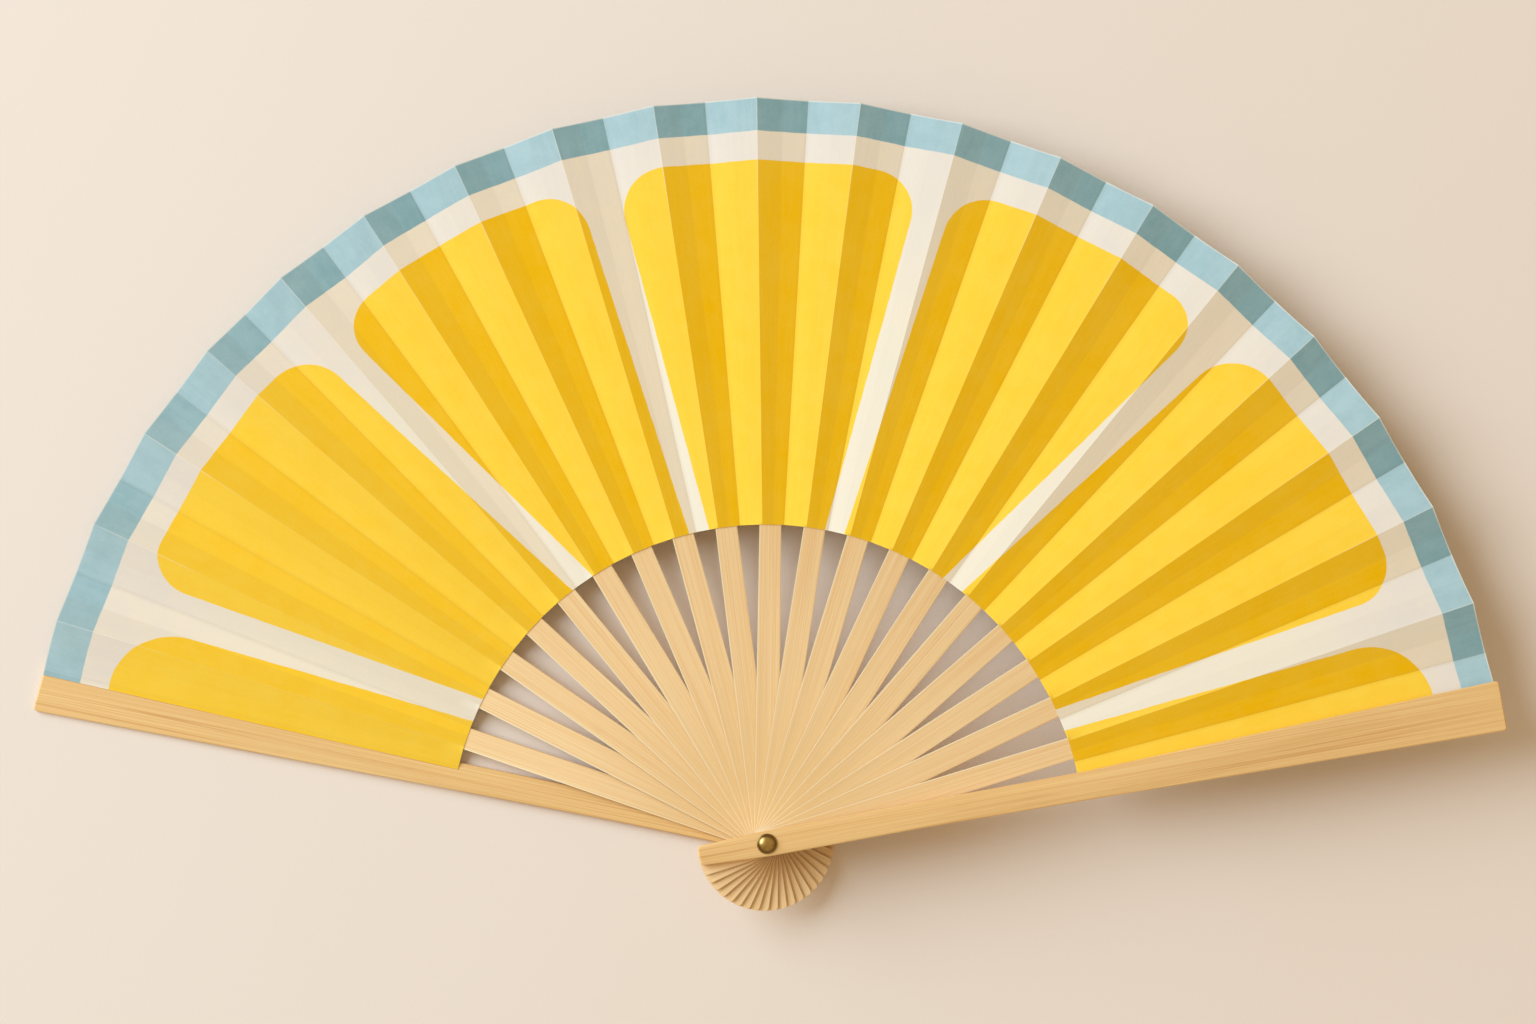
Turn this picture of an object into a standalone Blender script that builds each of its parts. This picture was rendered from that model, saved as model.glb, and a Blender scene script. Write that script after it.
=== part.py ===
"""A folding fan lying open: bamboo sticks on one brass rivet, and a pleated paper leaf on their faces.

The rivet axis is Z, and the floor under the back guard is Z = 0. Each stick is modelled along its own
+X, with +Y on its left as seen from above, and then turned to its azimuth. Seen from above, the back
guard lies at the left, each rib to the right of it lies one level higher, and the front guard is on top.
"""

import math

import bmesh
import bpy
from mathutils import Vector

# Sticks and leaf: lengths along a stick, from the rivet axis, and how far others stop short of them
guard_reach = 0.2110
tail_reach = 0.0195
leaf_inner_radius = 0.0900
leaf_tip_margin = 0.0005
slat_tip_margin = 0.0065

# The open fan, in degrees: the back guard's azimuth, and the turn from each stick to the next
back_guard_azimuth = 168.1
first_rib_turn = 7.0
rib_pitch_angle = 8.0
front_guard_turn = 6.9
rib_count = 19

# Ribs
rib_width = 0.0071
rib_width_at_leaf = 0.0062
rib_thickness = 0.0006
slat_width = 0.0034
slat_tip_width = 0.0026
slat_tip_corner = 0.0007
rib_tail_corner = 0.0012
slat_thickness = 0.0004
shoulder_run = 0.0008
rib_end_gap = 0.0004
rib_twist = 11.0
stick_gap = 0.0003

# Guards: half widths on the side of the leaf and on the outer side
guard_width = 0.0072
guard_tail_width = 0.0056
guard_tail_corner = 0.0012
guard_neck_leaf_side = 0.0038
guard_neck_outer_side = 0.0042
guard_tip_leaf_side = 0.0080
guard_tip_outer_side = 0.0063
guard_tip_corner = 0.0010
guard_thickness = 0.0022
guard_tip_thickness = 0.0012
guard_edge_round = 0.00035
guard_round_from = 40.0
front_guard_rise = 0.0015

# Leaf: a pleat is a panel on a rib and the free fold to its right. Angles are from the rib's own line,
# and the leaf's two end creases are turned from their guards' lines towards the leaf
paper_thickness = 0.00012
paper_gap = 0.0001
crease_gap = 0.00016
mountain_angle = 1.5
valley_angle = 2.5
leaf_start_turn = 1.6
leaf_end_turn = 0.4

# Rivet
shaft_radius = 0.0013
shaft_clearance = 0.0001
dome_radius = 0.0029
dome_height = 0.0014
back_head_radius = 0.0026
back_head_thickness = 0.0006
head_gap = 0.0001
profile_merge = 0.00001

# Counts of faces, and where a stick's outline has its points, as shares of the stretch they lie on
round_sides = 20
dome_steps = 5
corner_steps = 3
twist_shares = (0.0, 0.17, 0.34, 0.5, 0.67, 0.84)
flare_shares = (0.0, 0.25, 0.5, 0.75)
fold_steps = 5
flat_angle = math.radians(0.1)

# How far a cutter runs past the faces that it cuts
overrun = 0.0020

leaf_outer_radius = guard_reach - leaf_tip_margin
slat_reach = leaf_outer_radius - slat_tip_margin
first_rib_azimuth = back_guard_azimuth - first_rib_turn
last_rib_azimuth = first_rib_azimuth - (rib_count - 1) * rib_pitch_angle
front_guard_azimuth = last_rib_azimuth - front_guard_turn

# Levels, from the floor up. A rib's level is its top face at the rivet
level_step = rib_thickness + stick_gap
first_rib_level = guard_thickness + level_step
last_rib_level = first_rib_level + (rib_count - 1) * level_step
front_guard_level = last_rib_level + stick_gap
front_face_level = front_guard_level + guard_thickness
bore_radius = shaft_radius + shaft_clearance
leaf_slope = math.tan(math.radians(rib_twist))


def fresh_collection(name):
    collection = bpy.data.collections.new(name)
    bpy.context.scene.collection.children.link(collection)
    return collection


for old in list(bpy.data.objects):
    bpy.data.objects.remove(old)

fan = fresh_collection("folding_fan")
cutters = fresh_collection("cutters")


def make_material(name, color, roughness, metallic=0.0):
    material = bpy.data.materials.new(name)
    material.use_nodes = True
    shader = material.node_tree.nodes["Principled BSDF"]
    shader.inputs["Base Color"].default_value = (*color, 1)
    shader.inputs["Roughness"].default_value = roughness
    shader.inputs["Metallic"].default_value = metallic
    return material


rib_bamboo = make_material("rib_bamboo", (0.80, 0.56, 0.28), 0.5)
guard_bamboo = make_material("guard_bamboo", (0.74, 0.48, 0.22), 0.45)
leaf_paper = make_material("leaf_paper", (0.96, 0.62, 0.05), 0.8)
brass = make_material("brass", (0.78, 0.53, 0.22), 0.25, 1.0)


def place(name, mesh, material, collection=fan, parent=None, level=0.0):
    obj = bpy.data.objects.new(name, mesh)
    collection.objects.link(obj)
    if not mesh.materials:
        mesh.materials.append(material)
    obj.parent = parent
    obj.location = (0, 0, level)
    return obj


def pivot(name, azimuth, level):
    """An empty on the rivet axis, which carries all that turns with one stick."""
    empty = bpy.data.objects.new(name, None)
    fan.objects.link(empty)
    empty.location = (0, 0, level)
    empty.rotation_euler = (0, 0, math.radians(azimuth))
    return empty


def plate(name, rows, thickness):
    """A closed plate. rows are lines of points across its face, and thickness gives each row's, upwards."""
    bm = bmesh.new()
    steps, across = len(rows) - 1, len(rows[0]) - 1
    bmesh.ops.create_grid(bm, x_segments=steps, y_segments=across, size=1)
    row_of = {}
    for vert in bm.verts:
        row = round((vert.co.x + 1) / 2 * steps)
        row_of[vert] = row
        vert.co = rows[row][round((vert.co.y + 1) / 2 * across)]
    walls = bmesh.ops.extrude_face_region(bm, geom=bm.faces[:])
    near = {tuple(vert.co): row for vert, row in row_of.items()}
    for vert in walls["geom"]:
        if isinstance(vert, bmesh.types.BMVert):
            vert.co.z += thickness[near[tuple(vert.co)]]
    bmesh.ops.recalc_face_normals(bm, faces=bm.faces[:])
    bmesh.ops.dissolve_limit(bm, angle_limit=flat_angle, verts=bm.verts[:], edges=bm.edges[:])
    mesh = bpy.data.meshes.new(name)
    bm.to_mesh(mesh)
    bm.free()
    return mesh


def between(start, end, share):
    return start + (end - start) * share


def corner_points(half_width, reach, corner):
    """(distance from the rivet, half width) along a rounded corner at a stick's end, outwards."""
    points = []
    for step in range(corner_steps + 1):
        turn = math.pi / 2 * step / corner_steps
        along = reach - corner * (1 - math.sin(turn))
        points.append((along, half_width - corner * (1 - math.cos(turn))))
    return points


def bored(obj, cutter):
    cut = obj.modifiers.new("bore", "BOOLEAN")
    cut.operation = "DIFFERENCE"
    cut.solver = "EXACT"
    cut.object = cutter
    return obj


def cylinder_cutter(name, radius, bottom, top):
    bm = bmesh.new()
    bmesh.ops.create_cone(
        bm, cap_ends=True, segments=round_sides, radius1=radius, radius2=radius, depth=top - bottom
    )
    bmesh.ops.translate(bm, verts=bm.verts[:], vec=(0, 0, (top + bottom) / 2))
    mesh = bpy.data.meshes.new(name)
    bm.to_mesh(mesh)
    bm.free()
    cutter = place(name, mesh, brass, cutters)
    cutter.hide_render = True
    cutter.display_type = "WIRE"
    return cutter


bore = cylinder_cutter("rivet_bore", bore_radius, -overrun, front_face_level + overrun)
recess = cylinder_cutter(
    "rivet_recess", back_head_radius + shaft_clearance, -overrun, back_head_thickness + head_gap
)


def guard_mesh(name, leaf_side, rise):
    """A guard, its underside at Z = 0 by the rivet and rising by rise to the tip.

    leaf_side is +1 where the leaf is on the guard's left, and -1 where it is on the right.
    """
    tail_half, half, neck_at = guard_tail_width / 2, guard_width / 2, leaf_inner_radius
    tail = corner_points(tail_half, tail_reach, guard_tail_corner)
    outline = [(-along, half_width, half_width) for along, half_width in reversed(tail)]
    outline.append((0, half, half))
    outline.append((neck_at / 2, between(half, guard_neck_leaf_side, 0.5), half))
    tip_starts_at = guard_reach - guard_tip_corner
    for share in flare_shares:
        along = between(neck_at, tip_starts_at, share)
        leaf_half = between(guard_neck_leaf_side, guard_tip_leaf_side, share)
        outer_half = between(guard_neck_outer_side, guard_tip_outer_side, share)
        outline.append((along, leaf_half, outer_half))
    leaf_corner = corner_points(guard_tip_leaf_side, guard_reach, guard_tip_corner)
    outer_corner = corner_points(guard_tip_outer_side, guard_reach, guard_tip_corner)
    for (along, leaf_half), (_, outer_half) in zip(leaf_corner, outer_corner):
        outline.append((along, leaf_half, outer_half))
    rows, thickness = [], []
    for along, leaf_half, outer_half in outline:
        share = max(0.0, along / guard_reach)
        left, right = (leaf_half, outer_half) if leaf_side > 0 else (outer_half, leaf_half)
        height = rise * share
        rows.append([Vector((along, -right, height)), Vector((along, left, height))])
        thickness.append(between(guard_thickness, guard_tip_thickness, share))
    return plate(name, rows, thickness)


def rib_mesh():
    """A rib, its top face at Z = 0 by the rivet: a flat blade that turns about its own line up to the
    leaf, and then a thin slat that carries a panel. Its left edge ends up high and its right edge low."""
    half = rib_width / 2
    leaf_end = leaf_inner_radius - rib_end_gap
    tail = corner_points(half, tail_reach, rib_tail_corner)
    outline = [(-along, half_width, rib_thickness) for along, half_width in reversed(tail)]
    blade_end = leaf_end - shoulder_run
    for share in twist_shares:
        along = between(0, blade_end, share)
        outline.append((along, between(half, rib_width_at_leaf / 2, share), rib_thickness))
    outline.append((blade_end, rib_width_at_leaf / 2, rib_thickness))
    outline.append((leaf_end, slat_width / 2, slat_thickness))
    outline.append((slat_reach - slat_tip_corner, slat_tip_width / 2, slat_thickness))
    outline.append((slat_reach, slat_tip_width / 2 - slat_tip_corner, slat_thickness))
    rows, thickness = [], []
    for along, half_width, thick in outline:
        turned = min(1.0, max(0.0, along / leaf_end))
        slope = math.tan(math.radians(rib_twist) * turned)
        left, right = half_width, -half_width
        rows.append([Vector((along, y, y * slope - thick)) for y in (right, left)])
        thickness.append(thick)
    return plate("rib", rows, thickness)


class Crease:
    """A straight fold line of the leaf: it leaves the rivet axis at level, at azimuth, and climbs by
    slope for each unit outwards."""

    def __init__(self, azimuth, level, slope):
        self.direction = Vector((math.cos(math.radians(azimuth)), math.sin(math.radians(azimuth)), slope))
        self.level = level

    def at(self, radius):
        return Vector((0, 0, self.level)) + self.direction * radius


def leaf_mesh(name, creases, steps):
    """A strip of the leaf that spans the creases, from its inner to its outer radius."""
    rows = []
    for step in range(steps + 1):
        radius = between(leaf_inner_radius, leaf_outer_radius, step / steps)
        row = [crease.at(radius) for crease in creases]
        inset = crease_gap / 2
        first, last = (row[1] - row[0]).normalized() * inset, (row[-2] - row[-1]).normalized() * inset
        row[0], row[-1] = row[0] + first, row[-1] + last
        rows.append(row)
    return plate(name, rows, [paper_thickness] * len(rows))


# Creases as seen from the rivet axis at the height of the paper on their stick. The hinge of a fold
# passes through that point: the valley on its rib, or the crease on the back guard
mountain_slope = leaf_slope * math.sin(math.radians(mountain_angle))
valley_slope = -leaf_slope * math.sin(math.radians(valley_angle))
mountain = Crease(mountain_angle, 0, mountain_slope)
valley = Crease(-valley_angle, 0, valley_slope)
next_mountain = Crease(mountain_angle - rib_pitch_angle, level_step, mountain_slope)
under_front_guard = Crease(
    leaf_end_turn - front_guard_turn,
    stick_gap - paper_thickness - 2 * paper_gap,
    front_guard_rise / guard_reach,
)
on_back_guard = Crease(-leaf_start_turn, 0, (guard_tip_thickness - guard_thickness) / guard_reach)
first_mountain = Crease(mountain_angle - first_rib_turn, level_step, mountain_slope)


def rounded(obj):
    edges = obj.modifiers.new("edges", "BEVEL")
    edges.width = guard_edge_round
    edges.segments = 2
    edges.limit_method = "ANGLE"
    edges.angle_limit = math.radians(guard_round_from)
    return obj


def build_guards():
    """The back guard lies on the floor with its rivet head let in flush, and starts the leaf. The front
    guard lies on top."""
    back_pivot = pivot("back_pivot", back_guard_azimuth, 0)
    back = place("guard_back", guard_mesh("guard_back", -1, 0), guard_bamboo, parent=back_pivot)
    bored(bored(rounded(back), bore), recess)
    start = leaf_mesh("leaf_start", [first_mountain, on_back_guard], fold_steps)
    place("leaf_fold_00", start, leaf_paper, parent=back_pivot, level=guard_thickness + paper_gap)
    front_pivot = pivot("front_pivot", front_guard_azimuth, front_guard_level)
    front = place(
        "guard_front", guard_mesh("guard_front", 1, front_guard_rise), guard_bamboo, parent=front_pivot
    )
    bored(rounded(front), bore)


def build_ribs_and_leaf():
    """Each rib carries a leaf panel and, hinged at the panel's right edge, the fold to the next rib."""
    blade = rib_mesh()
    panel = leaf_mesh("leaf_panel", [valley, mountain], 1)
    fold = leaf_mesh("leaf_fold", [next_mountain, valley], fold_steps)
    end = leaf_mesh("leaf_end", [under_front_guard, valley, mountain], fold_steps)
    for number in range(1, rib_count + 1):
        azimuth = first_rib_azimuth - (number - 1) * rib_pitch_angle
        level = first_rib_level + (number - 1) * level_step
        carrier = pivot(f"rib_{number:02d}_pivot", azimuth, level)
        bored(place(f"rib_{number:02d}", blade, rib_bamboo, parent=carrier), bore)
        if number < rib_count:
            place(f"leaf_panel_{number:02d}", panel, leaf_paper, parent=carrier, level=paper_gap)
            place(f"leaf_fold_{number:02d}", fold, leaf_paper, parent=carrier, level=paper_gap)
        else:
            place("leaf_end_pleat", end, leaf_paper, parent=carrier, level=paper_gap)


def build_rivet():
    """One turned solid: a domed head in front, the shaft, and a flat head let into the back guard."""
    seat = front_face_level + head_gap
    profile = []
    for step in range(dome_steps + 1):
        turn = math.pi / 2 * step / dome_steps
        profile.append((dome_radius * math.sin(turn), seat + dome_height * math.cos(turn)))
    profile += [
        (shaft_radius, seat),
        (shaft_radius, back_head_thickness),
        (back_head_radius, back_head_thickness),
        (back_head_radius, 0),
        (0, 0),
    ]
    mesh = bpy.data.meshes.new("rivet")
    points = [(radius, 0, height) for radius, height in profile]
    mesh.from_pydata(points, [(i, i + 1) for i in range(len(points) - 1)], [])
    rivet = place("rivet", mesh, brass)
    turned = rivet.modifiers.new("turned", "SCREW")
    turned.steps = turned.render_steps = round_sides
    turned.use_merge_vertices = True
    turned.merge_threshold = profile_merge


build_guards()
build_ribs_and_leaf()
build_rivet()
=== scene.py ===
import math

import bpy
from mathutils import Matrix, Vector


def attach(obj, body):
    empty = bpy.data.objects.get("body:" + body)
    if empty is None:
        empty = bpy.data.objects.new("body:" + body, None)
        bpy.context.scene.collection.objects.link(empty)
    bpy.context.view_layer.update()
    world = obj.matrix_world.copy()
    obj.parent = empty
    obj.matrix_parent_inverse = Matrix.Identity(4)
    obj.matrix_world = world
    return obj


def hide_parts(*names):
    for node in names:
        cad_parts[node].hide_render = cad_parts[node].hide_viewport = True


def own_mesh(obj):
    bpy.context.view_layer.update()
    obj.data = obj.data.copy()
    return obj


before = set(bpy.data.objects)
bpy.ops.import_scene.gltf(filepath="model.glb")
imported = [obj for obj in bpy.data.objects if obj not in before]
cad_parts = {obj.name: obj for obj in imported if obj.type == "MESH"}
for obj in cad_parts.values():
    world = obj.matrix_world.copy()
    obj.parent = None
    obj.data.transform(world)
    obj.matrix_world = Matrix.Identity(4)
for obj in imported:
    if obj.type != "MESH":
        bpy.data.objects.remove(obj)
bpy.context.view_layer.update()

# Lengths are in metres and angles in degrees.
# Azimuths are counted from +X, seen from the front of the fan.
# A span runs from where something starts to show to where it shows in full.
# A texture's three numbers are its fineness, detail and roughness, and a bump's two are its
# strength and depth. A finish's roughness is given at its least, with what its texture adds.
fanLayout = {
    "ribCount": 19,
    "firstRib": 161.1,
    "ribPitch": 8.0,
    "ribStep": 0.0009,          # each rib lies this much higher than the one on its left
    "backGuard": 168.1,
    "frontGuard": 10.2,
    "mountain": 1.5,            # the raised crease, left of each rib's own line
    "valley": -2.5,
    "leafStart": 166.5,         # where the leaf leaves the back guard
    "leafEnd": 10.6,            # and where it meets the front guard
    "leafInner": 0.0900,
    "leafOuter": 0.2105,
}
stack = {
    "firstLevel": 0.0031,       # height of the first rib's upper face on its own line
    "twist": 11.0,              # how far the ribs and their facets tip, left edge high
    "paper": 0.00012,
    "paperGap": 0.0001,
}
ribNumbers = range(1, fanLayout["ribCount"] + 1)
halfPitch = math.radians(fanLayout["ribPitch"] / 2)
facetWidth = fanLayout["mountain"] - fanLayout["valley"]
toDegrees = 180 / math.pi


def ribAzimuth(number):
    return fanLayout["firstRib"] - (number - 1) * fanLayout["ribPitch"]


def turned(azimuth):  # turns +X to this azimuth
    return Matrix.Rotation(math.radians(azimuth), 3, "Z")


def azimuthOf(place):
    return math.degrees(math.atan2(place.y, place.x))


def screenColour(red, green, blue):  # a colour as it reads on screen, made linear
    channels = [value / 255 for value in (red, green, blue)]
    linear = [c / 12.92 if c <= 0.04045 else ((c + 0.055) / 1.055) ** 2.4 for c in channels]
    return (*linear, 1)


# Camera and light

cameraSettings = {
    "place": (-0.037, 0.098, 1.600),
    "turn": (-0.17, -1.36, -0.13),
    "lens": 131.7,
    "clipStart": 0.01,
}
keyLight = {
    "aim": (0, 0.09, 0),
    "bearing": 154,             # where the lamp stands, as an azimuth
    "elevation": 35,
    "distance": 3.0,
    "size": 2.73,
    "power": 98.5,
    "colour": (0.83, 0.995, 1.20),
}
skyLight = {"colour": (1.0, 0.775, 0.515), "strength": 0.53}


def addCamera():
    bpy.ops.object.camera_add(location=cameraSettings["place"])
    camera = bpy.context.object
    camera.rotation_euler = [math.radians(angle) for angle in cameraSettings["turn"]]
    camera.data.lens = cameraSettings["lens"]
    camera.data.clip_start = cameraSettings["clipStart"]
    bpy.context.scene.camera = camera


def addLights():
    tilt = Matrix.Rotation(math.radians(-keyLight["elevation"]), 3, "Y")
    away = turned(keyLight["bearing"]) @ tilt @ Vector((keyLight["distance"], 0, 0))
    place = Vector(keyLight["aim"]) + away
    facing = away.to_track_quat("Z", "Y").to_euler()
    bpy.ops.object.light_add(type="AREA", location=place, rotation=facing)
    lamp = bpy.context.object.data
    lamp.shape = "DISK"
    lamp.size = keyLight["size"]
    lamp.energy = keyLight["power"]
    lamp.color = keyLight["colour"]
    sky = bpy.data.worlds.new("studioSky")
    bpy.context.scene.world = sky
    sky.use_nodes = True
    background = sky.node_tree.nodes["Background"]
    background.inputs["Color"].default_value = (*skyLight["colour"], 1)
    background.inputs["Strength"].default_value = skyLight["strength"]


bpy.context.scene.view_settings.view_transform = "Standard"
addCamera()
addLights()
print("camera and lights placed")


# Shader maths

class Signal:  # one output of a shader node, which can be used in sums
    def __init__(self, board, socket):
        self.board, self.socket = board, socket

    def __add__(self, other):
        return self.board.maths("ADD", self, other)

    def __sub__(self, other):
        return self.board.maths("SUBTRACT", self, other)

    def __rsub__(self, other):
        return self.board.maths("SUBTRACT", other, self)

    def __mul__(self, other):
        return self.board.maths("MULTIPLY", self, other)

    def __truediv__(self, other):
        return self.board.maths("DIVIDE", self, other)

    def __rtruediv__(self, other):
        return self.board.maths("DIVIDE", other, self)

    __radd__ = __add__
    __rmul__ = __mul__


class Board:  # the node tree of one material
    def __init__(self, name):
        self.material = bpy.data.materials.new(name)
        self.material.use_nodes = True
        self.tree = self.material.node_tree
        self.shader = self.tree.nodes["Principled BSDF"]

    def add(self, kind, settings, sockets, output=0):
        node = self.tree.nodes.new(kind)
        for key, value in settings.items():
            setattr(node, key, value)
        for key, value in sockets.items():
            self.connect(node.inputs[key], value)
        return Signal(self, node.outputs[output])

    def connect(self, socket, value):
        if isinstance(value, Signal):
            self.tree.links.new(value.socket, socket)
        else:
            socket.default_value = value

    def surface(self, sockets):  # links or sets the shader's own sockets
        for key, value in sockets.items():
            self.connect(self.shader.inputs[key], value)
        return self.material

    def maths(self, operation, *values):
        return self.add("ShaderNodeMath", {"operation": operation}, dict(enumerate(values)))

    def step(self, value, start, end):  # 0 before start, 1 after end, and smooth between
        sockets = {0: value, 1: start, 2: end, 3: 0.0, 4: 1.0}
        settings = {"interpolation_type": "SMOOTHSTEP"}
        return self.add("ShaderNodeMapRange", settings, sockets)

    def mix(self, share, first, second):
        sockets = {0: share, 6: first, 7: second}
        return self.add("ShaderNodeMix", {"data_type": "RGBA"}, sockets, 2)

    def split(self, vector):
        parts = self.add("ShaderNodeSeparateXYZ", {}, {0: vector}).socket.node
        return [Signal(self, output) for output in parts.outputs]

    def join(self, x, y, z):
        return self.add("ShaderNodeCombineXYZ", {}, {0: x, 1: y, 2: z})

    def noise(self, place, scale, detail=2.0, rough=0.5):
        sockets = {"Vector": place, "Scale": scale, "Detail": detail, "Roughness": rough}
        return self.add("ShaderNodeTexNoise", {}, sockets)

    def bump(self, height, strength, distance):
        sockets = {"Height": height, "Strength": strength, "Distance": distance}
        return self.add("ShaderNodeBump", {}, sockets)

    def place(self):
        return self.add("ShaderNodeTexCoord", {}, {}, 3)

    def attribute(self, name):
        return self.add("ShaderNodeAttribute", {"attribute_name": name}, {}, 1)


# Modelling

modelling = {
    "weld": 0.000002,
    "flat": 0.05,               # faces that meet at less than this become one when welded
    "pairAngle": 8,             # and triangles that meet at less than this become pairs
    "smoothAngle": 35,
    "roundAngle": 50,
    "roundSegments": 3,
}


def only(piece):
    if bpy.context.mode != "OBJECT":
        bpy.ops.object.mode_set(mode="OBJECT")
    bpy.ops.object.select_all(action="DESELECT")
    piece.select_set(True)
    bpy.context.view_layer.objects.active = piece


def edit(piece):  # opens a piece in edit mode, with all of it selected
    only(piece)
    bpy.ops.object.mode_set(mode="EDIT")
    bpy.ops.mesh.select_all(action="SELECT")


def selectFaces(piece, wanted):  # in edit mode, leaves just the wanted faces selected
    bpy.ops.object.mode_set(mode="OBJECT")
    for part in (piece.data.vertices, piece.data.edges, piece.data.polygons):
        part.foreach_set("select", [False] * len(part))
    for face in piece.data.polygons:
        face.select = wanted(face)
    bpy.ops.object.mode_set(mode="EDIT")


def selectPoints(piece, wanted):
    selectFaces(piece, lambda face: False)
    bpy.ops.object.mode_set(mode="OBJECT")
    for vertex in piece.data.vertices:
        vertex.select = wanted(vertex.co)
    bpy.ops.object.mode_set(mode="EDIT")


def cutAcross(place, direction):  # cuts the whole mesh by a plane, in edit mode
    bpy.ops.mesh.select_all(action="SELECT")
    bpy.ops.mesh.bisect(plane_co=place, plane_no=direction)


def pairTriangles():  # makes the selected triangles into four-sided faces where they are flat
    flat, anyShape = math.radians(modelling["pairAngle"]), math.radians(180)
    bpy.ops.mesh.tris_convert_to_quads(face_threshold=flat, shape_threshold=anyShape)


def applyModifiers(piece):
    only(piece)
    for modifier in list(piece.modifiers):
        bpy.ops.object.modifier_apply(modifier=modifier.name)


def smooth(piece):
    only(piece)
    bpy.ops.object.shade_smooth_by_angle(angle=math.radians(modelling["smoothAngle"]))


def roundEdges(piece, width):
    smooth(piece)
    bevel = piece.modifiers.new("edges", "BEVEL")
    bevel.width = width
    bevel.segments = modelling["roundSegments"]
    bevel.limit_method = "ANGLE"
    bevel.angle_limit = math.radians(modelling["roundAngle"])
    bevel.harden_normals = True
    applyModifiers(piece)


def weldedCopy(node, name, flat=modelling["flat"]):  # a CAD node's solid, with clean faces
    piece = bpy.data.objects.new(name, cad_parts[node].data.copy())
    bpy.context.scene.collection.objects.link(piece)
    piece.data.materials.clear()
    edit(piece)
    bpy.ops.mesh.remove_doubles(threshold=modelling["weld"])
    bpy.ops.mesh.dissolve_limited(angle_limit=math.radians(flat))
    bpy.ops.object.mode_set(mode="OBJECT")
    return piece


def turnedCopy(template, name, turns):  # the template, this many ribs further to the right
    piece = bpy.data.objects.new(name, template.data.copy())
    bpy.context.scene.collection.objects.link(piece)
    turn = Matrix.Rotation(-math.radians(fanLayout["ribPitch"] * turns), 4, "Z")
    piece.data.transform(Matrix.Translation((0, 0, fanLayout["ribStep"] * turns)) @ turn)
    return piece


def hand(piece, body, node):  # ties a piece to its body, and hides the CAD node it stands for
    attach(piece, body)
    if node:
        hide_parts(node)


# Bamboo sticks

bamboo = {
    # each pattern's fineness along and across the stick, and its shift from one to the next
    "fibres": (14, 4200, 7.3),
    "streaks": (5, 1500, 3.1),
    "patches": (16, 110, 5.7),
    "pores": (130, 4200, 9.1),
    "veins": (2, 290, 4.3),
    "grainShares": (0.65, 0.25, 0.2),   # of the fibres, streaks and patches
    "deepSpan": (0.34, 0.78),
    "poreSpan": (0.64, 0.76),
    "poreShare": 0.25,
    "poreTone": 0.82,                   # of the deep colour
    "streakBump": 0.6,
    "bump": (0.25, 0.00008),
    "roughness": (0.36, 0.25),
}
ribs = {
    "pale": (255, 226, 172),
    "deep": (243, 200, 138),
    "rivetShade": (228, 192, 132),     # painted shade near the rivet
    "edge": (255, 242, 204),        # painted highlight along the left edge, which faces the lamp
    "rightEdgeShade": (150, 98, 44),          # and painted shade along the right one
    "halfWidth": 0.00355,
    "taper": 0.005,                 # half width lost for each unit along the rib
    "tailSpan": (-0.004, 0.004),    # along the rib, from the tail to past the rivet
    "rivetShadeSpan": (0.01, 0.07),
    "rivetShadeShare": 0.75,
    "leftHighlightSpan": (0.0002, 0.0003),
    "leftHighlightShare": 0.95,
    "highlightLostNearRivet": 0.7,             # how much less of it shows near the rivet
    "rightEdgeShadeSpan": (0.0001, 0.0003),
    "rightEdgeShadeTail": 0.0001,             # how much narrower it is on the tail
    "rightEdgeShadeShare": 0.35,              # and twice this on the tail
    "rounding": 0.00022,            # of all the edges
    "shoulder": (0.0885, 0.0898),   # where the blade ends and the narrow slat begins
    "underLeaf": 0.0010,            # how much further the blade goes here, to end under the paper
}
guards = {
    "pale": (244, 206, 139),
    "deep": (227, 178, 108),
    "vein": (206, 152, 84),
    "veinMiddle": 0.5,              # a vein runs where its texture has this value
    "veinSpan": (0.004, 0.02),
    "veinPatches": (0.35, 0.6),
    "veinShare": 0.55,
    "seeds": (("back", 31), ("front", 47)),     # the shift of each one's pattern
    "tipFrom": 0.2090,              # what lies further out than this is the tip
    "tipTuck": 0.0008,              # how far the back tip's corner is drawn in under the leaf
}


def writeStickPlaces(piece, azimuth, seed):  # along the stick, across it, and its own number
    straight = turned(-azimuth)
    values = piece.data.attributes.new("stick", "FLOAT_VECTOR", "POINT")
    for vertex, value in zip(piece.data.vertices, values.data):
        place = straight @ vertex.co
        value.vector = (place.x, place.y, seed)


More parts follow.
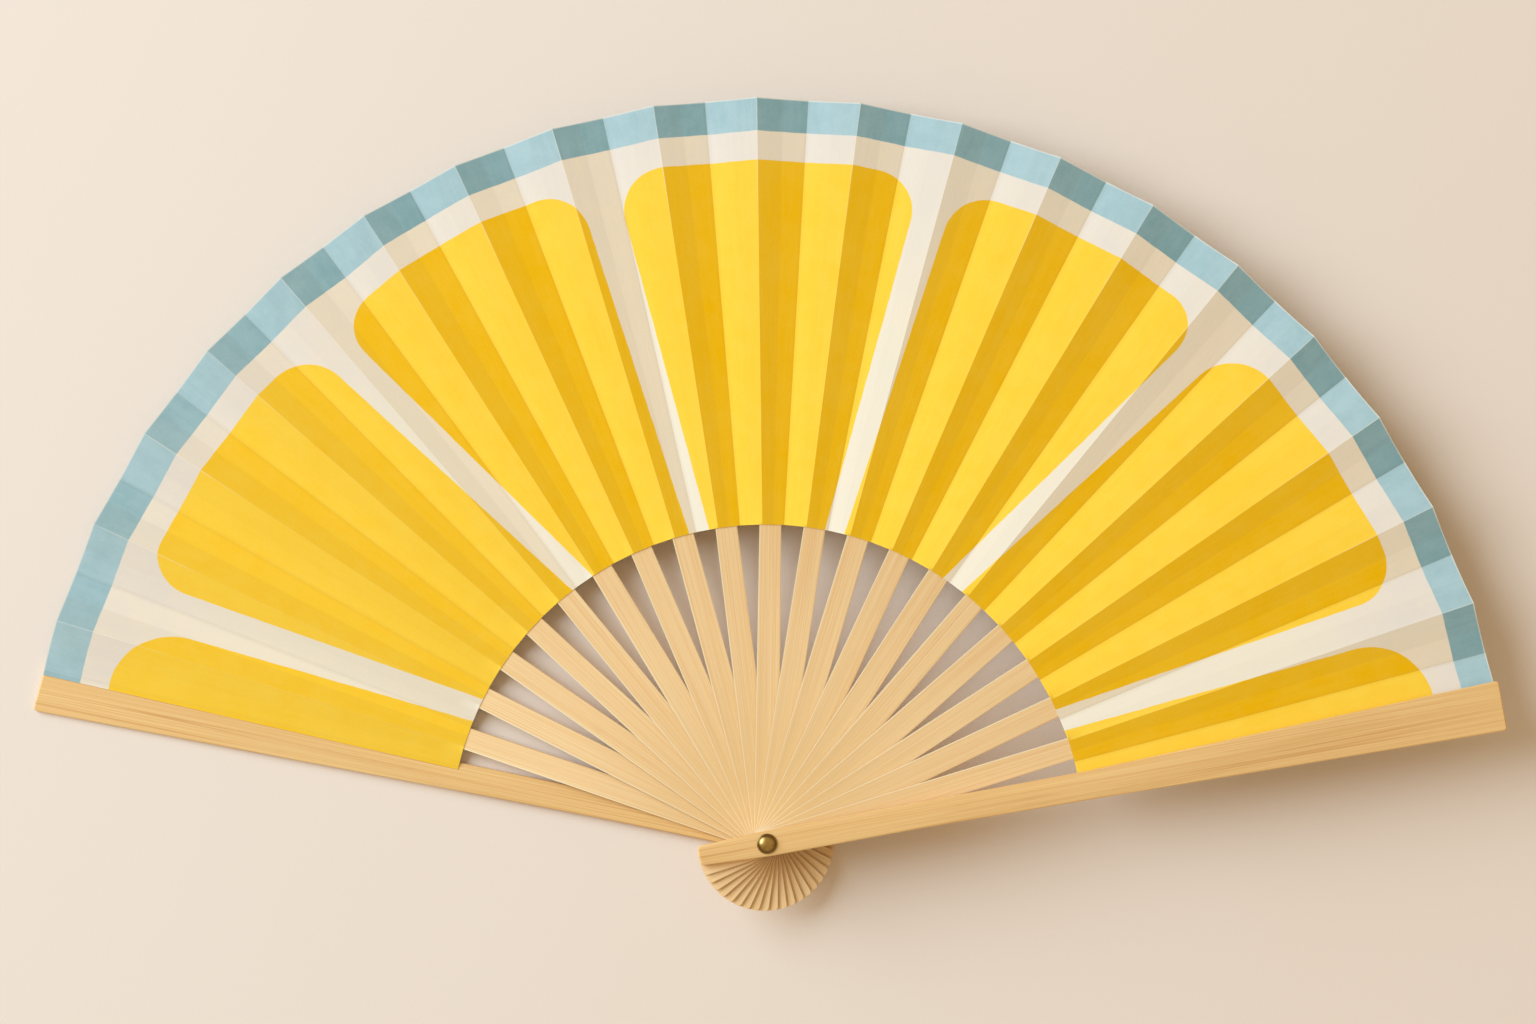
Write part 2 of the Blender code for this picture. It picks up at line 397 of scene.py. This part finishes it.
def paintRibLight(board, colour, along, across):  # painted shade near the rivet, a painted highlight along the left edge, and painted shade along the right one
    halfWidth = ribs["halfWidth"] - along * ribs["taper"]
    atTail = 1 - board.step(along, *ribs["tailSpan"])
    share = ribs["rivetShadeShare"]
    # painted shade: the ribs darker towards the rivet, none of it on the tail
    rivetShade = (1 - board.step(along, *ribs["rivetShadeSpan"])) * (share - atTail * share)
    colour = board.mix(rivetShade, colour, screenColour(*ribs["rivetShade"]))
    # painted highlight along the left edge, weaker near the rivet
    edge = 1 - board.step(halfWidth - across, *ribs["leftHighlightSpan"])
    edge = edge * (ribs["leftHighlightShare"] - rivetShade * ribs["highlightLostNearRivet"])
    colour = board.mix(edge, colour, screenColour(*ribs["edge"]))
    # painted shade along the right edge, narrower and stronger on the tail
    start, end = ribs["rightEdgeShadeSpan"]
    rightEdgeShade = 1 - board.step(halfWidth + across, start, end - atTail * ribs["rightEdgeShadeTail"])
    rightEdgeShade = rightEdgeShade * (atTail * ribs["rightEdgeShadeShare"] + ribs["rightEdgeShadeShare"])
    return board.mix(rightEdgeShade, colour, screenColour(*ribs["rightEdgeShade"]))


def veinGuard(board, colour, veins, patches):  # thin dark lines that come and go
    fromVein = board.maths("ABSOLUTE", veins - guards["veinMiddle"])
    inPatch = board.step(patches, *guards["veinPatches"])
    shown = (1 - board.step(fromVein, *guards["veinSpan"])) * inPatch * guards["veinShare"]
    return board.mix(shown, colour, screenColour(*guards["vein"]))


def bambooMaterial(name, stick):
    board = Board(name)
    along, across, seed = board.split(board.attribute("stick"))

    def pattern(kind, detail):
        alongStick, acrossStick, shift = bamboo[kind]
        place = board.join(along * alongStick, across * acrossStick, seed * shift)
        return board.noise(place, 1.0, detail)

    fibres, streaks = pattern("fibres", 1.0), pattern("streaks", 2.0)
    patches, pores = pattern("patches", 2.0), pattern("pores", 1.0)
    fibreShare, streakShare, patchShare = bamboo["grainShares"]
    grain = fibres * fibreShare + streaks * streakShare + patches * patchShare
    deepShare = board.step(grain, *bamboo["deepSpan"])
    colour = board.mix(deepShare, screenColour(*stick["pale"]), screenColour(*stick["deep"]))
    dashes = board.step(pores, *bamboo["poreSpan"]) * bamboo["poreShare"]
    dashColour = screenColour(*[value * bamboo["poreTone"] for value in stick["deep"]])
    colour = board.mix(dashes, colour, dashColour)
    if stick is ribs:
        colour = paintRibLight(board, colour, along, across)
    else:
        colour = veinGuard(board, colour, pattern("veins", 1.0), patches)
    least, added = bamboo["roughness"]
    return board.surface({
        "Base Color": colour,
        "Roughness": grain * added + least,
        "Normal": board.bump(fibres + streaks * bamboo["streakBump"], *bamboo["bump"]),
    })


ribBamboo = bambooMaterial("ribBamboo", ribs)
guardBamboo = bambooMaterial("guardBamboo", guards)


def makeRibs():
    template = weldedCopy("rib_01", "ribTemplate")
    straight = turned(-ribAzimuth(1))
    start, end = ribs["shoulder"]

    def onShoulder(point):
        place = straight @ point
        return start < place.x < end and abs(place.y) < ribs["halfWidth"]

    edit(template)
    selectPoints(template, onShoulder)
    longer = straight.inverted() @ Vector((ribs["underLeaf"], 0, 0))
    bpy.ops.transform.translate(value=longer)
    bpy.ops.mesh.select_all(action="SELECT")
    pairTriangles()
    roundEdges(template, ribs["rounding"])
    template.data.materials.append(ribBamboo)
    for number in ribNumbers:
        rib = turnedCopy(template, f"ribBlade{number:02d}", number - 1)
        writeStickPlaces(rib, ribAzimuth(number), number)
        hand(rib, f"rib_{number:02d}", f"rib_{number:02d}")
    bpy.data.objects.remove(template)


def tuckTip(guard, azimuth):  # the tip's inner corner ends under the leaf's outer edge
    straight = turned(-azimuth)

    def atCorner(point):
        place = straight @ point
        return place.x > guards["tipFrom"] and place.y < 0

    selectPoints(guard, atCorner)
    inwards = straight.inverted() @ Vector((-guards["tipTuck"], 0, 0))
    bpy.ops.transform.translate(value=inwards)


def makeGuards():
    for side, seed in guards["seeds"]:
        azimuth = fanLayout[f"{side}Guard"]
        guard = weldedCopy(f"guard_{side}", f"{side}GuardStick")
        edit(guard)
        pairTriangles()
        if side == "back":
            tuckTip(guard, azimuth)
        smooth(guard)
        guard.data.materials.append(guardBamboo)
        writeStickPlaces(guard, azimuth, seed)
        hand(guard, f"{side}_guard", f"guard_{side}")


makeRibs()
makeGuards()
print("bamboo sticks made")


# Rivet

rivetSizes = {
    "segments": 48,
    "rings": 32,
    "domeRadius": 0.00262,
    "domeHeight": 0.0012,
    "collarRadius": 0.0029,
    "collarHeight": 0.0002,         # of the thin collar under the dome
    "seat": 0.0219,                 # height of the collar's underside
    "shaftRadius": 0.0013,
    "backRadius": 0.0026,
    "backThickness": 0.0006,
    "rim": 0.0001,
}
brass = {
    "bright": (200, 166, 90),
    "tarnish": (172, 134, 60),
    "foot": (100, 74, 28),          # around the foot of the dome
    "clouds": (700.0, 3.0, 0.6),
    "scratches": (5200.0, 2.0, 0.5),
    "tarnishSpan": (0.35, 0.75),
    "footSpan": (0.55, 0.95),       # in parts of the dome's radius
    "footShare": 0.95,
    "collarSpan": (1, 1.01),
    "collarShare": 0.6,             # how much less of it shows on the collar
    "coat": (0.5, 0.2),             # weight and roughness
    "bump": (0.05, 0.00003),
    "roughness": (0.26, 0.08),
}


def brassMaterial():
    board = Board("rivetBrass")
    place = board.place()
    clouds = board.noise(place, *brass["clouds"])
    scratches = board.noise(place, *brass["scratches"])
    x, y = board.split(place)[:2]
    radius = board.maths("SQRT", x * x + y * y)
    tarnished = board.step(clouds, *brass["tarnishSpan"])
    colour = board.mix(tarnished, screenColour(*brass["bright"]), screenColour(*brass["tarnish"]))
    edge = rivetSizes["domeRadius"]
    nearFoot = board.step(radius, *[edge * part for part in brass["footSpan"]])
    onCollar = board.step(radius, *[edge * part for part in brass["collarSpan"]])
    foot = nearFoot * brass["footShare"] - onCollar * brass["collarShare"]
    colour = board.mix(foot, colour, screenColour(*brass["foot"]))
    least, added = brass["roughness"]
    coat, coatRoughness = brass["coat"]
    return board.surface({
        "Base Color": colour,
        "Metallic": 1.0,
        "Roughness": clouds * added + least,
        "Coat Weight": coat,
        "Coat Roughness": coatRoughness,
        "Normal": board.bump(scratches, *brass["bump"]),
    })


def makeRivet():
    sizes = rivetSizes
    seat = (0, 0, sizes["seat"] + sizes["collarHeight"])
    bpy.ops.object.select_all(action="DESELECT")
    segments, rings = sizes["segments"], sizes["rings"]
    bpy.ops.mesh.primitive_uv_sphere_add(
        segments=segments, ring_count=rings, radius=sizes["domeRadius"], location=seat
    )
    rivet = bpy.context.object
    rivet.name = "rivetPin"
    only(rivet)
    bpy.ops.object.transform_apply(location=True, rotation=True, scale=True)

    def pull(depth):  # extrudes the selected face downwards
        bpy.ops.mesh.extrude_region_move(TRANSFORM_OT_translate={"value": (0, 0, -depth)})

    def widen(times, centre):
        bpy.ops.transform.resize(value=(times, times, 1), center_override=centre)

    edit(rivet)
    flatten = (1, 1, sizes["domeHeight"] / sizes["domeRadius"])
    bpy.ops.transform.resize(value=flatten, center_override=seat)
    bpy.ops.mesh.bisect(plane_co=seat, plane_no=(0, 0, 1), use_fill=True, clear_inner=True)
    selectFaces(rivet, lambda face: len(face.vertices) > 4)  # the round face of the cut
    pull(0)  # a new ring in the same place, which is then widened
    widen(sizes["collarRadius"] / sizes["domeRadius"], seat)
    pull(sizes["collarHeight"])
    bpy.ops.mesh.inset(thickness=sizes["collarRadius"] - sizes["shaftRadius"])
    pull(sizes["seat"] - sizes["backThickness"])
    pull(0)
    widen(sizes["backRadius"] / sizes["shaftRadius"], (0, 0, sizes["backThickness"]))
    pull(sizes["backThickness"])
    roundEdges(rivet, sizes["rim"])
    rivet.data.materials.append(brassMaterial())
    hand(rivet, "back_guard", "rivet")


makeRivet()
print("rivet made")


# Leaf

leafPrint = {
    # each pith line: azimuth at its inner and outer end, and width there
    "pith": (
        (155.6, 158.8, 0.0069, 0.0120),
        (125.4, 130.9, 0.0070, 0.0100),
        (102.1, 104.3, 0.0058, 0.0104),
        (77.4, 75.2, 0.0056, 0.0098),
        (53.9, 48.5, 0.0064, 0.0098),
        (22.5, 19.8, 0.0064, 0.0115),
    ),
    "pithInner": 0.0905,
    "pithOuter": 0.1810,
    "rind": 0.1929,                 # the outer edge of the fruit
    "rim": 0.2011,                  # the inner edge of the blue stripe
    "leftInset": 0.0015,            # how much nearer to the rivet both lie at the left
    "insetSpan": (116.0, 128.0),
    "middle": 89.0,                 # the azimuth half way between the two cut wedges
    "cutFrom": 68.5,
    "firstCrease": 162.6,           # up to here the bands run straight between raised creases
    "corner": 0.0125,
    "endCorner": 0.0185,            # of the two cut wedges beside the guards
    "soft": 0.00012,                # half the blur of a printed edge
    "wobble": (260.0, 0.0003),      # of a printed edge: its fineness and its width
    "yellow": (252, 211, 70),
    "yellowDeep": (250, 195, 0),
    "cream": (237, 229, 207),
    "creamRim": (230, 222, 209),
    "creamRimSpan": (0.15, 0.195),
    "creamDeep": (246, 232, 203),
    "blue": (175, 204, 208),
    "blueDeep": (130, 171, 176),
}
leafPaper = {
    "wash": (46.0, 4.0, 0.6),
    "blots": (170.0, 3.0, 0.6),
    "strokes": (60, 1.6),           # fineness along the facets, and across them by degrees
    "grain": (1500.0, 3.0, 0.6),
    "pigmentShares": (0.35, 0.35, 0.3, 0.2),    # of the wash, blots, strokes and grain
    "pigmentSpan": (0.45, 0.78),
    "pigmentDepth": 0.35,
    "stickDepthAndShade": 0.65,             # how much the print deepens on the facets over the sticks: partly the slats showing through, partly painted shade of these facets, which tip away from the lamp
    "stickShadeFade": 0.35,              # and how much of that painted shade is lost at the left
    "fadeSpan": (115.0, 150.0),
    "creaseBlur": 0.06,
    # shading: the spans in degrees past the raised crease, the reach in metres
    "slatSpan": (1.95, 2.15),       # the slat's edge, which shows through
    "slatShade": 0.10,
    "midFoldSpan": (5.9, 6.1),      # a faint fold half way over the free facets
    "midFoldShade": 0.035,
    "valleyReach": 0.0011,
    "valleyShade": 0.10,
    "shadeColour": (0.25, 0.17, 0.06, 1),
    "shadeDepth": 0.75,
    # bare paper where the print is worn off, with painted highlight on the raised creases and the
    # cut edge
    "bareAndHighlight": (250, 244, 226),
    "wornAndLitSpan": (0.00004, 0.0002),
    "wornAndLitStrokes": (0.3, 0.6),
    "wornAndLitOutwards": (0.17, 0.2),  # by distance from the rivet
    "wornAndLitShares": (0.05, 0.4),    # everywhere, and what is added further out
    "cutEdgeSpan": (0.21, 0.2104),
    "cutEdgeShare": 0.6,
    "back": (240, 230, 210),
    "backShare": 0.7,
    "grainBump": 0.6,
    "bump": (0.35, 0.00012),
    "roughness": (0.68, 0.2),
    "backRoughness": (0.7, 0.2),
    "gloss": 0.1,
}
leafMesh = {
    "inner": 0.0897,
    "rowsAcross": 22,
    "drapeRows": (0.0900, 0.0903, 0.0906),
    "columnShares": (0.14, 0.38, 0.62, 0.86),   # from the mountain crease to the valley
    "columnMargin": 0.1,            # how far from a column a point of it may lie, in degrees
    "creaseGap": 0.00008,           # how far each facet is moved out at a crease, to close it
    "waveSize": 0.011,
    "waveHeight": 0.00016,
    "edgeReach": 0.0902,            # points nearer to the rivet than this are the inner edge
    "drapeReach": 0.0899,           # and these lie over the ends of the blades
    "drapeEnd": 0.0906,             # from here on the facets are flat again
    "flat": 6,                      # faces that meet at less than this become one at first
    "frontFaces": 0.3,              # faces that point up more than this are printed
}
leafHem = {
    "edge": 166.95,
    "under": 0.12,                  # how far it goes under the first facet, in degrees
    "cuts": 6,
    "guardRoot": 0.0022,            # thickness of the back guard at the rivet and at its tip
    "guardTip": 0.0012,
    "guardReach": 0.2110,
}


def printedFruit(board, x, y, radius, cutWedge):  # how far a point lies inside the yellow
    layout = leafPrint
    nearest = None
    for innerAzimuth, outerAzimuth, innerWidth, outerWidth in layout["pith"]:
        start = Matrix.Rotation(math.radians(innerAzimuth), 2) @ Vector((layout["pithInner"], 0))
        end = Matrix.Rotation(math.radians(outerAzimuth), 2) @ Vector((layout["pithOuter"], 0))
        run = (end - start).normalized()
        widening = (outerWidth - innerWidth) / 2 / (end - start).length
        along = x * run.x + y * run.y - start.dot(run)
        across = x * -run.y + y * run.x - start.dot(Vector((-run.y, run.x)))
        distance = board.maths("ABSOLUTE", across) - along * widening - innerWidth / 2
        nearest = distance if nearest is None else board.maths("MINIMUM", nearest, distance)
    corner = cutWedge * (layout["endCorner"] - layout["corner"]) + layout["corner"]
    intoSide = board.maths("MAXIMUM", corner - nearest, 0.0)
    intoRind = board.maths("MAXIMUM", corner - (layout["rind"] - radius), 0.0)
    return corner - board.maths("SQRT", intoSide * intoSide + intoRind * intoRind)


class LeafBoard(Board):  # a board with the leaf's own measures and its printed colour
    def __init__(self, name):
        super().__init__(name)
        self.spot = self.place()
        self.x, self.y = self.split(self.spot)[:2]
        self.radius = self.maths("SQRT", self.x * self.x + self.y * self.y)
        self.azimuth = self.maths("ARCTAN2", self.y, self.x) * toDegrees
        self.measureFacet()
        self.addPatterns()

    def measureFacet(self):
        pitch = fanLayout["ribPitch"]
        # ten pitches more, so that what is divided stays above zero
        firstMountain = fanLayout["firstRib"] + fanLayout["mountain"] + 10 * pitch
        self.pastMountain = self.maths("MODULO", firstMountain - self.azimuth, pitch)
        blur = leafPaper["creaseBlur"]
        pastStick = self.step(self.pastMountain, facetWidth - blur, facetWidth + blur)
        self.overStick = 1 - pastStick
        fromMiddle = self.pastMountain * math.radians(1) - halfPitch
        chord = self.maths("COSINE", fromMiddle) / math.cos(halfPitch)
        straight = self.maths("LESS_THAN", self.azimuth, leafPrint["firstCrease"])
        # the radius, counted as on the raised creases
        self.reach = self.radius * (1 + (chord - 1) * straight)

    def addPatterns(self):
        alongFacet, acrossFacet = leafPaper["strokes"]
        radial = self.join(self.radius * alongFacet, self.azimuth * acrossFacet, 0.0)
        self.strokes = self.noise(radial, 1.0, 4.0, 0.6)
        self.grain = self.noise(self.spot, *leafPaper["grain"])
        self.relief = self.bump(
            self.grain * leafPaper["grainBump"] + self.strokes, *leafPaper["bump"]
        )

    def printDepth(self):  # 0 where the print is pale, and more over the sticks, where it also paints the shade of these facets
        wash = self.noise(self.spot, *leafPaper["wash"])
        blots = self.noise(self.spot, *leafPaper["blots"])
        washShare, blotShare, strokeShare, grainShare = leafPaper["pigmentShares"]
        mottle = wash * washShare + blots * blotShare
        mottle = mottle + self.strokes * strokeShare + self.grain * grainShare
        pigment = self.step(mottle, *leafPaper["pigmentSpan"])
        # painted shade of the facets over the sticks, together with the slats showing through;
        # less of it at the left
        towardsLeft = self.step(self.azimuth, *leafPaper["fadeSpan"])
        stickDepthAndShade = leafPaper["stickDepthAndShade"] - towardsLeft * leafPaper["stickShadeFade"]
        return pigment * leafPaper["pigmentDepth"] + self.overStick * stickDepthAndShade

    def printed(self):
        depth = self.printDepth()

        def tint(pale, deep):
            return self.mix(depth, pale, screenColour(*leafPrint[deep]))

        soft = leafPrint["soft"]
        fineness, width = leafPrint["wobble"]
        drift = (self.noise(self.spot, fineness) - 0.5) * width
        fromMiddle = self.maths("ABSOLUTE", self.azimuth - leafPrint["middle"])
        cutWedge = self.maths("GREATER_THAN", fromMiddle, leafPrint["cutFrom"])
        inset = self.step(self.azimuth, *leafPrint["insetSpan"]) * leafPrint["leftInset"]
        counted = self.reach + inset
        inside = printedFruit(self, self.x, self.y, counted, cutWedge) + drift
        fruit = self.step(inside, -soft, soft)
        rim = self.step(counted + drift, leafPrint["rim"] - soft, leafPrint["rim"] + soft)
        cream = self.mix(
            self.step(self.radius, *leafPrint["creamRimSpan"]),
            screenColour(*leafPrint["cream"]),
            screenColour(*leafPrint["creamRim"]),
        )
        yellow = tint(screenColour(*leafPrint["yellow"]), "yellowDeep")
        blue = tint(screenColour(*leafPrint["blue"]), "blueDeep")
        return self.mix(rim, self.mix(fruit, tint(cream, "creamDeep"), yellow), blue)

    def finish(self, colour, roughness):
        least, added = roughness
        return self.surface({
            "Base Color": colour,
            "Roughness": self.grain * added + least,
            "Normal": self.relief,
            "Specular IOR Level": leafPaper["gloss"],
        })


def shadeFacets(board, colour):  # the slats show through, and painted shade darkens the paper in the valley creases
    paper = leafPaper
    fromValley = board.maths("ABSOLUTE", board.pastMountain - facetWidth)
    fromValley = fromValley * board.radius / toDegrees
    pastSlat = board.step(board.pastMountain, *paper["slatSpan"])
    ghost = board.overStick * (1 - pastSlat) * paper["slatShade"]
    midFold = board.step(board.pastMountain, *paper["midFoldSpan"]) * paper["midFoldShade"]
    # painted shade in the valley creases
    inValley = 1 - board.step(fromValley, 0.0, paper["valleyReach"])
    shade = ghost + midFold + inValley * paper["valleyShade"]
    shaded = board.mix(paper["shadeDepth"], colour, paper["shadeColour"])
    return board.mix(shade, colour, shaded)


def bareAndLitPaper(board):  # how much pale paper shows on raised creases and the outer edge: worn print, with a painted highlight along these edges
    paper, pitch = leafPaper, fanLayout["ribPitch"]
    nearest = board.maths("MINIMUM", board.pastMountain, pitch - board.pastMountain)
    fromMountain = nearest * board.radius / toDegrees
    wornAndLit = 1 - board.step(fromMountain, *paper["wornAndLitSpan"])
    wornAndLit = wornAndLit * board.step(board.strokes, *paper["wornAndLitStrokes"])
    everywhere, outwards = paper["wornAndLitShares"]
    wornAndLit = wornAndLit * (board.step(board.radius, *paper["wornAndLitOutwards"]) * outwards + everywhere)
    # painted highlight along the outer cut edge
    cutEdge = board.step(board.reach, *paper["cutEdgeSpan"]) * paper["cutEdgeShare"]
    return board.maths("MAXIMUM", wornAndLit, cutEdge)


def frontMaterial():
    board = LeafBoard("leafPrint")
    colour = shadeFacets(board, board.printed())
    colour = board.mix(bareAndLitPaper(board), colour, screenColour(*leafPaper["bareAndHighlight"]))
    return board.finish(colour, leafPaper["roughness"])


def backMaterial():
    board = LeafBoard("leafBack")
    colour = board.mix(leafPaper["backShare"], board.printed(), screenColour(*leafPaper["back"]))
    return board.finish(colour, leafPaper["backRoughness"])


leafFront, leafBack = frontMaterial(), backMaterial()


def ribPlane(place, number):  # height of a rib's upper face, carried on past its edges
    across = (turned(-ribAzimuth(number)) @ place).y
    level = stack["firstLevel"] + fanLayout["ribStep"] * (number - 1)
    return level + across * math.tan(math.radians(stack["twist"]))


def facetMesh(node, name, mountainAzimuth, valleyAzimuth):  # cut fine, and up to the creases
    piece = weldedCopy(node, name, leafMesh["flat"])
    edit(piece)
    selectPoints(piece, lambda place: place.xy.length < leafMesh["edgeReach"])
    shrink = leafMesh["inner"] / fanLayout["leafInner"]
    bpy.ops.transform.resize(value=(shrink, shrink, 1), center_override=(0, 0, 0))
    outwards = turned((mountainAzimuth + valleyAzimuth) / 2) @ Vector((1, 0, 0))
    start, rows = leafMesh["drapeRows"][-1], leafMesh["rowsAcross"]
    spacing = (fanLayout["leafOuter"] - start) / rows
    evenRows = [start + spacing * row for row in range(1, rows)]
    for reach in [*leafMesh["drapeRows"], *evenRows]:
        cutAcross(outwards * reach, outwards)
    for share in leafMesh["columnShares"]:
        azimuth = mountainAzimuth + (valleyAzimuth - mountainAzimuth) * share
        cutAcross((0, 0, 0), turned(azimuth) @ Vector((0, 1, 0)))
    bpy.ops.object.mode_set(mode="OBJECT")
    closeCreases(piece, mountainAzimuth, valleyAzimuth)
    if valleyAzimuth < leafPrint["firstCrease"]:
        straighten(piece, valleyAzimuth)
    return piece


def closeCreases(piece, mountainAzimuth, valleyAzimuth):  # moves both long edges to the creases
    margin = abs(mountainAzimuth - valleyAzimuth) * leafMesh["columnShares"][0] / 2
    sides = ((mountainAzimuth, valleyAzimuth), (valleyAzimuth, mountainAzimuth))
    for vertex in piece.data.vertices:
        azimuth = azimuthOf(vertex.co)
        for edge, other in sides:
            if abs(azimuth - edge) < margin:
                side = leafMesh["creaseGap"] * (1 if edge > other else -1)
                vertex.co += turned(edge) @ Vector((0, side, 0))


def straighten(piece, valleyAzimuth):  # the outer edge runs straight between raised creases
    inner, outer = leafMesh["inner"], fanLayout["leafOuter"]
    for vertex in piece.data.vertices:
        azimuth = math.atan2(vertex.co.y, vertex.co.x)
        chord = math.cos(halfPitch) / math.cos(azimuth - math.radians(valleyAzimuth))
        share = (vertex.co.xy.length - inner) / (outer - inner)
        vertex.co.xy *= 1 + (chord - 1) * min(max(share, 0), 1)


def drape(piece, mountainAzimuth, valleyAzimuth, number):  # lifts the inner edge over a blade
    firstShare = leafMesh["columnShares"][0]
    column = mountainAzimuth + (valleyAzimuth - mountainAzimuth) * firstShare
    fadeLength = leafMesh["drapeEnd"] - leafMesh["drapeReach"]
    for vertex in piece.data.vertices:
        onColumn = abs(azimuthOf(vertex.co) - column) < leafMesh["columnMargin"]
        share = min(1, (leafMesh["drapeEnd"] - vertex.co.xy.length) / fadeLength)
        if share > 0 and onColumn:
            top = stack["paper"] if vertex.normal.z > 0 else 0
            lifted = ribPlane(vertex.co, number) + stack["paperGap"] + top
            vertex.co.z += (lifted - vertex.co.z) * share


def wave(piece, waves):
    push = piece.modifiers.new("waves", "DISPLACE")
    push.texture = waves
    push.texture_coords = "LOCAL"
    push.direction = "Z"
    push.strength = leafMesh["waveHeight"]
    push.mid_level = 0.5
    applyModifiers(piece)


def dress(piece):
    piece.data.materials.append(leafFront)
    piece.data.materials.append(leafBack)
    for face in piece.data.polygons:
        face.material_index = 0 if face.normal.z > leafMesh["frontFaces"] else 1
    smooth(piece)


def makeHem():  # the strip of leaf that is glued down on the back guard
    hem = leafHem
    inner, outer = leafMesh["inner"], fanLayout["leafOuter"]
    bpy.ops.object.select_all(action="DESELECT")
    bpy.ops.mesh.primitive_cube_add(size=1)
    piece = bpy.context.object
    piece.name = "leafHem"
    edit(piece)
    bpy.ops.transform.resize(value=(outer - inner, 1, stack["paper"]))
    bpy.ops.mesh.subdivide(number_cuts=hem["cuts"])
    bpy.ops.transform.translate(value=((outer + inner) / 2, 0, 0))
    bpy.ops.object.mode_set(mode="OBJECT")
    start = math.radians(fanLayout["leafStart"] - hem["under"])
    end = math.radians(hem["edge"])
    fall = (hem["guardTip"] - hem["guardRoot"]) / hem["guardReach"]
    for vertex in piece.data.vertices:  # the bar becomes a wedge of a ring, on the guard's face
        radius, share, height = vertex.co.x, vertex.co.y + 0.5, vertex.co.z
        azimuth = start + (end - start) * share
        rise = hem["guardRoot"] + fall * radius + stack["paperGap"] + stack["paper"] / 2
        vertex.co = (radius * math.cos(azimuth), radius * math.sin(azimuth), rise + height)
    dress(piece)
    hand(piece, "back_guard", None)


def makeLeaf():
    waves = bpy.data.textures.new("paperWaves", "CLOUDS")
    waves.noise_scale = leafMesh["waveSize"]

    def finishFacet(facet, body, node):
        wave(facet, waves)
        dress(facet)
        hand(facet, body, node)

    mountain, valley, pitch = fanLayout["mountain"], fanLayout["valley"], fanLayout["ribPitch"]
    first, last = ribAzimuth(1), ribAzimuth(fanLayout["ribCount"])
    foldSpan = (first - pitch + mountain, first + valley)
    panel = facetMesh("leaf_panel_01", "panelTemplate", first + mountain, first + valley)
    fold = facetMesh("leaf_fold_01", "foldTemplate", *foldSpan)
    drape(fold, *foldSpan, 2)
    for number in ribNumbers:
        isLast = number == fanLayout["ribCount"]
        node = "leaf_end_pleat" if isLast else f"leaf_panel_{number:02d}"
        facet = turnedCopy(panel, f"leafPanel{number:02d}", number - 1)
        finishFacet(facet, f"rib_{number:02d}", node)
        if not isLast:
            facet = turnedCopy(fold, f"leafFold{number:02d}", number - 1)
            finishFacet(facet, f"fold_{number:02d}", f"leaf_fold_{number:02d}")
    bpy.data.objects.remove(panel)
    bpy.data.objects.remove(fold)

    startSpan = (first + mountain, fanLayout["leafStart"])
    start = facetMesh("leaf_fold_00", "leafFold00", *startSpan)
    drape(start, *startSpan, 1)
    finishFacet(start, "fold_00", "leaf_fold_00")

    makeHem()
    end = facetMesh("leaf_end_pleat", "leafEndFold", fanLayout["leafEnd"], last + valley)
    turn = turned(last + valley)
    across = turn @ Vector((0, 1, 0))
    edit(end)
    bpy.ops.mesh.bisect(plane_co=(0, 0, 0), plane_no=across, use_fill=True, clear_outer=True)
    finishFacet(end, "rib_19", "leaf_end_pleat")
    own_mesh(end)


makeLeaf()
print("leaf made")


# Table

table = {
    "size": 6.0,
    "below": -0.0002,
    "pale": (238, 227, 213),
    "deep": (238, 223, 206),
    "mottle": (9.0, 4.0, 0.55),
    "grain": (900.0, 3.0, 0.6),
    "fadeAlong": (0.8, 0.3),        # painted shade: the tone deepens to the right and to the front
    "fadeSpan": (-0.3, 0.3),
    "shares": (0.7, 0.5, 0.12),     # of the fade, mottle and grain
    "roughness": 0.85,
    "bump": (0.15, 0.0002),
}


def tableMaterial():
    board = Board("tableTop")
    place = board.place()
    x, y = board.split(place)[:2]
    mottle = board.noise(place, *table["mottle"])
    grain = board.noise(place, *table["grain"])
    right, front = table["fadeAlong"]
    # painted shade: the table darker towards the right and the front
    fade = board.step(x * right - y * front, *table["fadeSpan"])
    fadeShare, mottleShare, grainShare = table["shares"]
    share = fade * fadeShare + (mottle - 0.5) * mottleShare + (grain - 0.5) * grainShare
    colour = board.mix(share, screenColour(*table["pale"]), screenColour(*table["deep"]))
    return board.surface({
        "Base Color": colour,
        "Roughness": table["roughness"],
        "Normal": board.bump(grain, *table["bump"]),
    })


def makeTable():
    bpy.ops.object.select_all(action="DESELECT")
    bpy.ops.mesh.primitive_plane_add(size=table["size"], location=(0, 0, table["below"]))
    top = bpy.context.object
    top.name = "tableTop"
    top.data.materials.append(tableMaterial())


makeTable()
print("table made")
